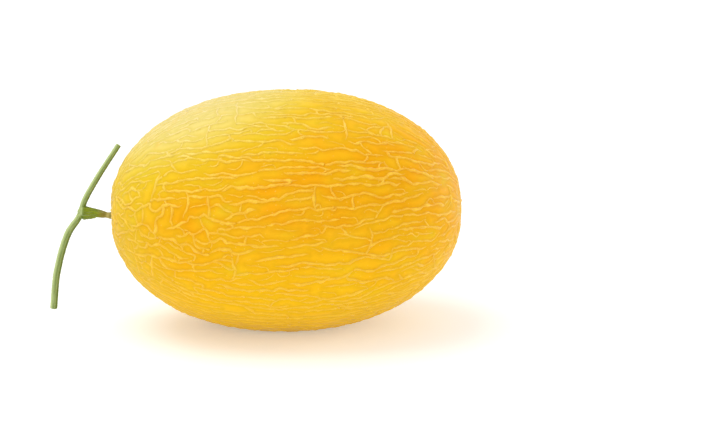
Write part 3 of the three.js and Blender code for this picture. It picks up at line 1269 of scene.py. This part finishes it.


# %% [markdown]
# Ripe skin isn't one yellow. It is lemon towards the stalk, deeper orange on its flanks and
# yellower below, with soft streaks along the fruit and a pale patch where it lay on the ground. On
# the lit top the lemon is partly the skin's own and partly painted light, and a cream over its
# palest part is a painted highlight. The yellower belly is partly painted light as well, and the
# skin beside each crack is darkened by painted shade. The skin and the feet of the cork share these
# colours, so they come from one group.

# %% Colours of the rind
GOLDEN = (0.94, 0.48, 0.0065, 1)
ORANGE = (0.95, 0.415, 0.003, 1)
LEMON = (0.85, 0.635, 0.027, 1)
# painted highlight: the pale cream of the lit top
PAINTED_HIGHLIGHT_CREAM = (0.845, 0.69, 0.24, 1)
# yellower below the axis: partly the skin's own paler colour, partly painted light on its lower
# side
BELLY = (0.955, 0.58, 0.006, 1)
PAINTED_CRACK_SHADE = (0.9, 0.905, 0.72, 1)  # painted shade: darkens the colour close to a crack
STREAK = (0.95, 0.52, 0.02, 1)
# Noises: scale, detail, and how they are stretched along the fruit.
BLOTCHES = (70, 3, (2.2, 1, 1))
STREAKS = (190, 3, (8, 1, 1))
SATIN = (55, 3)
# Where a colour sets in: from and to, and its share at each of the two. Roughness goes alike.
ORANGE_IN = (0.4, 0.7, 0, 0.9)  # of the blotches
LEMON_IN = (0.45, 0.2, 0, 0.5)  # of the blotches
STREAK_IN = (0.5, 0.8, 0, 0.3)
BELLY_IN = (-0.25, 0.9)  # below the axis, in radii; partly painted light
STALK_LEMON_IN = (25 * MM, 95 * MM, 0.55, 0)  # from the stalk
LIT_TOP_LEMON_IN = (0.41, 1.0)  # on the lit top: partly the skin's own lemon, partly painted light
SATIN_ROUGHNESS = (0.3, 0.7, 0.4, 0.5)

rind, rind_in, rind_out = new_group(
    "rind colours",
    [("Crack shade", "NodeSocketFloat")],
    [
        ("Color", "NodeSocketColor"),
        ("Bloom and highlight", "NodeSocketFloat"),
        ("Lit top lemon", "NodeSocketFloat"),
        ("Roughness", "NodeSocketFloat"),
        ("Pores", "NodeSocketFloat"),
    ],
)
where = object_places(rind)
from_middle = vector_maths(rind, "SUBTRACT", where, (0, 0, AXIS_HEIGHT))
scaled = vector_maths(rind, "DIVIDE", from_middle, (HALF_LENGTH, RADIUS, RADIUS))
spot = node(rind, "ShaderNodeSeparateXYZ", {0: scaled}).outputs
# The mask of the lit top towards the stalk, where the colour carries painted light.
back = maths(rind, "MINIMUM", spot["X"], LIT_TOP_TO)
over = maths(rind, "MULTIPLY", spot["Z"], LIT_TOP_UP)
lit_top = maths(rind, "MULTIPLY_ADD", back, -LIT_TOP_BACK, over)
downward = (0, 0, -1 / RADIUS)
below = vector_maths(rind, "DOT_PRODUCT", from_middle, downward, output="Value")
stalk_end = (-HALF_LENGTH, 0, AXIS_HEIGHT)
from_stalk = vector_maths(rind, "DISTANCE", where, stalk_end, output="Value")
blotches = noise_at(rind, where, *BLOTCHES)
# On the lit top the lemon is partly the skin's own and partly painted light. Over its palest part
# the cream is a painted highlight, and the same mask gives the waxy coat.
toward_lit_top = ranged(rind, lit_top, *LIT_TOP_LEMON_IN)
bloom_and_highlight = ranged(rind, lit_top, PALE_FROM, PALE_TO)
ripe_layers = (
    (ranged(rind, blotches, *ORANGE_IN), ORANGE),
    (ranged(rind, blotches, *LEMON_IN), LEMON),
    (ranged(rind, below, *BELLY_IN), BELLY),
    (ranged(rind, from_stalk, *STALK_LEMON_IN), LEMON),
    (toward_lit_top, LEMON),
    (bloom_and_highlight, PAINTED_HIGHLIGHT_CREAM),
)
colour = layered(rind, GOLDEN, ripe_layers)
# Painted shade: the skin darkens close to each crack, as in the shade beside a ridge.
colour = mix(rind, rind_in["Crack shade"], colour, PAINTED_CRACK_SHADE, "MULTIPLY")
streaks = noise_at(rind, where, *STREAKS)
colour = mix(rind, ranged(rind, streaks, *STREAK_IN), colour, STREAK)
feed(rind, bloom_and_highlight, rind_out["Bloom and highlight"])
feed(rind, toward_lit_top, rind_out["Lit top lemon"])
satin = ranged(rind, noise_at(rind, where, *SATIN), *SATIN_ROUGHNESS)
feed(rind, satin, rind_out["Roughness"])
print("layers of the ripe colour:", len(ripe_layers))

# %% [markdown]
# Small marks lie over those colours: pale freckles, the cream patch that lay on the ground, a green
# tinge and dry skin round the stalk, and the dry scar of the flower. The edges of the patches are
# made ragged with noise. The pores go to the relief and not to the colour.

# %% Freckles, the ground spot, the two ends and the pores
FRECKLE = (0.98, 0.66, 0.16, 1)
FRECKLES = 290  # scale of the noise
FRECKLE_IN = (0.05, 0.16, 0.45, 0)
GROUND_PALE = (0.93, 0.7, 0.26, 1)
SPOT_EDGE = (2 * MM, 15 * MM)  # how high the pale patch reaches, with SPOT_RAGGED
SPOT_RAGGED = ((9 * MM, 45), (5 * MM, 150))  # how far its edge wanders, and the noises' scales
GREENISH = (0.62, 0.5, 0.05, 1)
DRY = (0.42, 0.25, 0.08, 1)
DRY_PALE = (0.72, 0.5, 0.2, 1)
DRY_PATCHES = (650, 4)
DRY_IN = (0.4, 0.62)
END_TINTS = (  # place along the axis, rise above it, inner and outer radius, colours in patches
    (-HALF_LENGTH, STALK_SEAT_RISE, 5 * MM, 15 * MM, GREENISH, GREENISH),
    (-HALF_LENGTH, STALK_SEAT_RISE, 3 * MM, 5 * MM, DRY, DRY_PALE),
    (HALF_LENGTH, 0, 5.5 * MM, 8 * MM, DRY, DRY_PALE),
)
END_RAGGED = (3 * MM, 260)
PORES = 520
FINE_GRAIN = 1.5  # how much the streaks add to the relief of the pores

freckles = node(rind, "ShaderNodeTexVoronoi", {"Vector": where, "Scale": FRECKLES}, feature="F1")
freckle = ranged(rind, freckles.outputs["Distance"], *FRECKLE_IN)
ragged = node(rind, "ShaderNodeSeparateXYZ", {0: where}).outputs["Z"]
for wander, scale in SPOT_RAGGED:
    ragged = maths(rind, "MULTIPLY_ADD", noise_at(rind, where, scale), wander, ragged)
ground = ranged(rind, ragged, *SPOT_EDGE, 1, 0)
colour = layered(rind, colour, ((freckle, FRECKLE), (ground, GROUND_PALE)))

dry_patches = ranged(rind, noise_at(rind, where, *DRY_PATCHES), *DRY_IN)
wander, scale = END_RAGGED
edge_noise = noise_at(rind, where, scale)
for pole, rise, inner, outer, tint, patch_tint in END_TINTS:
    middle = (pole, 0, AXIS_HEIGHT + rise)
    from_pole = vector_maths(rind, "DISTANCE", where, middle, output="Value")
    uneven = maths(rind, "MULTIPLY_ADD", edge_noise, wander, from_pole)
    patchy_tint = mix(rind, dry_patches, tint, patch_tint)
    colour = mix(rind, ranged(rind, uneven, inner, outer, 1, 0), colour, patchy_tint)
feed(rind, colour, rind_out["Color"])

pores = node(rind, "ShaderNodeTexVoronoi", {"Vector": where, "Scale": PORES}, feature="SMOOTH_F1")
relief = maths(rind, "MULTIPLY_ADD", streaks, FINE_GRAIN, pores.outputs["Distance"])
feed(rind, relief, rind_out["Pores"])
print("nodes in the rind's group:", len(rind.nodes))

# %% [markdown]
# Ripe skin is satin, with a waxy bloom where it is palest, and seen nearly edge-on it has a pale,
# velvety glow. The bloom is a coat, and the glow is sheen, which cloth uses for the same look.

# %% Skin
def new_material(name, plain):
    """A material whose surface has some plain values. Returns it, its tree and its inputs."""
    material = bpy.data.materials.new(name)
    tree = bare_tree(material)
    surface = node(tree, "ShaderNodeBsdfPrincipled", plain)
    node(tree, "ShaderNodeOutputMaterial", {"Surface": surface.outputs[0]})
    return material, tree, surface.inputs


def kept_number(tree, label):
    return node(tree, "ShaderNodeAttribute", attribute_name=label).outputs["Fac"]


def bumped(tree, height, relief, surface):
    strength, depth = relief
    inputs = {"Height": height, "Strength": strength, "Distance": depth}
    feed(tree, node(tree, "ShaderNodeBump", inputs).outputs[0], surface["Normal"])


def velvet(weight, tint):
    """The pale glow of a dull, fine-grained surface where it is seen nearly edge-on."""
    return {"Sheen Weight": weight, "Sheen Tint": tint, "Sheen Roughness": 0.35}


def dress(material, *pieces):
    for piece in pieces:
        piece.data.materials.append(material)
    print(material.name + ":", len(material.node_tree.nodes), "nodes, pieces:", len(pieces))


SKIN_PLAIN = {"Specular IOR Level": 0.06, "Coat Roughness": 0.5, **velvet(0.4, (1, 0.8, 0.5, 1))}
SKIN_RELIEF = (0.3, 0.12 * MM)  # strength and depth

skin_finish, tree, surface = new_material("ripe skin", SKIN_PLAIN)
nearness = kept_number(tree, "nearness")
on_skin = node(tree, "ShaderNodeGroup", {"Crack shade": nearness}, node_tree=rind).outputs
feed(tree, on_skin["Color"], surface["Base Color"])
feed(tree, on_skin["Bloom and highlight"], surface["Coat Weight"])
feed(tree, on_skin["Roughness"], surface["Roughness"])
bumped(tree, on_skin["Pores"], SKIN_RELIEF, surface)
dress(skin_finish, fruit_skin)

# %% [markdown]
# Cork is dull and crumbly, and has the same glow. Its own colour is laid over the rind's by how
# near the crest it is, so that no line shows where a ridge begins, as one would if the ridges had a
# plain colour of their own.

# %% Cork
CORK = (1.0, 0.63, 0.043, 1)
# on the lit top: partly the cork's own yellow, partly painted light
YELLOW_CORK = (1.0, 0.77, 0.14, 1)
# painted highlight: the pale cork of the lit top
PAINTED_HIGHLIGHT_CORK = (0.96, 0.78, 0.42, 1)
CORK_PLAIN = {"Specular IOR Level": 0.35, **velvet(0.6, (1, 0.8, 0.6, 1))}
CORK_RELIEF = (0.7, 0.3 * MM)
PATCHES = (170, 2)
PATCH_IN = (0.3, 0.6, 0.5, 1)
CRUMBS = (1100, 4)
CRUMB_IN = (0.35, 0.55, 0.55, 1)
CRUMB_ROUGHNESS = (0.3, 0.7, 0.6, 0.42)

cork_finish, tree, surface = new_material("pale cork", CORK_PLAIN)
# The feet of the cork take the full painted shade of the skin beside a crack.
on_cork = node(tree, "ShaderNodeGroup", {"Crack shade": 1}, node_tree=rind).outputs
where = object_places(tree)
patches = ranged(tree, noise_at(tree, where, *PATCHES), *PATCH_IN)
crumbs = noise_at(tree, where, *CRUMBS)
speckled = maths(tree, "MULTIPLY", patches, ranged(tree, crumbs, *CRUMB_IN))
crest = ranged(tree, kept_number(tree, "crest"), 0, 1)
ripe = maths(tree, "MULTIPLY", crest, kept_number(tree, "cork"))
healed = maths(tree, "MULTIPLY", ripe, speckled)
# The cork of the lit top is yellower, partly painted light, and its palest part carries a painted
# highlight.
cork_layers = ((on_cork["Lit top lemon"], YELLOW_CORK), (on_cork["Bloom and highlight"], PAINTED_HIGHLIGHT_CORK))
corky = layered(tree, CORK, cork_layers)
feed(tree, mix(tree, healed, on_cork["Color"], corky), surface["Base Color"])
feed(tree, ranged(tree, crumbs, *CRUMB_ROUGHNESS), surface["Roughness"])
bumped(tree, crumbs, CORK_RELIEF, surface)
dress(cork_finish, *cork_pieces)

# %% [markdown]
# ## Finishes of the stem
#
# The vine is painted sage green on its lit side, as painted light, and dark olive on the other, as
# painted shade, with paler ribs, and the stalk a deeper olive that turns brown and dry where it
# meets the fruit. Fine pale streaks run along both. The cut ends show the paler pith inside a
# darker ring.

# %% Green stem
# painted light: the vine's paler green on its lit side, which the bristles share
SAGE = (0.52, 0.62, 0.27, 1)
# painted shade: the vine's darker green on the side away from the light
SHADED_OLIVE = (0.115, 0.18, 0.018, 1)
PALE_RIB = (0.62, 0.71, 0.33, 1)
STALK_GREEN = (0.27, 0.35, 0.018, 1)
STALK_DARK = (0.12, 0.165, 0.008, 1)
STALK_BROWN = (0.26, 0.21, 0.035, 1)
STALK_TAN = (0.5, 0.42, 0.14, 1)
PITH = (0.42, 0.46, 0.2, 1)
STRINGS = (2.2, 3, (2.5, 1, 1))
SAGE_IN = (0.05, 1.1)  # towards the side painted as lit
RIB_IN = (0.6, 1.0, 0, 0.3)
STRING_IN = (0.5, 0.8, 0, 0.5)
DARK_IN = (0.35, 0.65)  # of the strings
# Of the stalk's length, towards the fruit: brown, then a tan neck, then brown again at the seat.
BROWN_IN, TAN_IN, SEAT_IN = (0.5, 0.74), (0.78, 0.87), (0.88, 0.95, 0, 0.7)
STRING_ROUGHNESS = (0.3, 0.7, 0.55, 0.75)
STEM_RELIEF = (0.4, 0.1 * MM)

stem_finish, tree, surface = new_material("green stem", {"Specular IOR Level": 0.15})
stem_where = node(tree, "ShaderNodeAttribute", attribute_name="stem_places").outputs["Vector"]
strings = noise_at(tree, stem_where, *STRINGS)
toward_fruit = kept_number(tree, "toward_fruit")
stalk_layers = (
    (ranged(tree, strings, *DARK_IN), STALK_DARK),
    (ranged(tree, toward_fruit, *BROWN_IN), STALK_BROWN),
    (ranged(tree, toward_fruit, *TAN_IN), STALK_TAN),
    (ranged(tree, toward_fruit, *SEAT_IN), STALK_BROWN),
)
stem_layers = (
    (ranged(tree, kept_number(tree, "sunny"), *SAGE_IN), SAGE),
    (ranged(tree, kept_number(tree, "rib"), *RIB_IN), PALE_RIB),
    (kept_number(tree, "stalk"), layered(tree, STALK_GREEN, stalk_layers)),
    (ranged(tree, strings, *STRING_IN), PALE_RIB),
    (kept_number(tree, "cut"), PITH),
)
feed(tree, layered(tree, SHADED_OLIVE, stem_layers), surface["Base Color"])
feed(tree, ranged(tree, strings, *STRING_ROUGHNESS), surface["Roughness"])
bumped(tree, strings, STEM_RELIEF, surface)
dress(stem_finish, stem_skin)

# %% [markdown]
# The bristles are paler than the vine, and too fine to show a pattern, so one noise through space
# gives each of them its own tone.

# %% Bristles of the stem
BRISTLE_TONES = 500
BRISTLE_ROUGHNESS = (0.3, 0.7, 0.5, 0.7)

bristle_finish, tree, surface = new_material("pale bristles", {})
tone = noise_at(tree, object_places(tree), BRISTLE_TONES)
feed(tree, mix(tree, ranged(tree, tone, 0.3, 0.7), PALE_RIB, SAGE), surface["Base Color"])
feed(tree, ranged(tree, tone, *BRISTLE_ROUGHNESS), surface["Roughness"])
dress(bristle_finish, stem_bristles)

# %% [markdown]
# ## The finished melon
#
# Nothing on a melon moves, so every piece rides on the one body. The skin takes the place of the
# solid fruit, and the green skin of the stem that of the solid stem.

# %% Hand over the pieces
for piece in (fruit_skin, *cork_pieces):
    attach(piece, "root")
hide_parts("fruit")
for piece in (stem_skin, stem_bristles):
    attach(piece, "root")
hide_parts("stem")
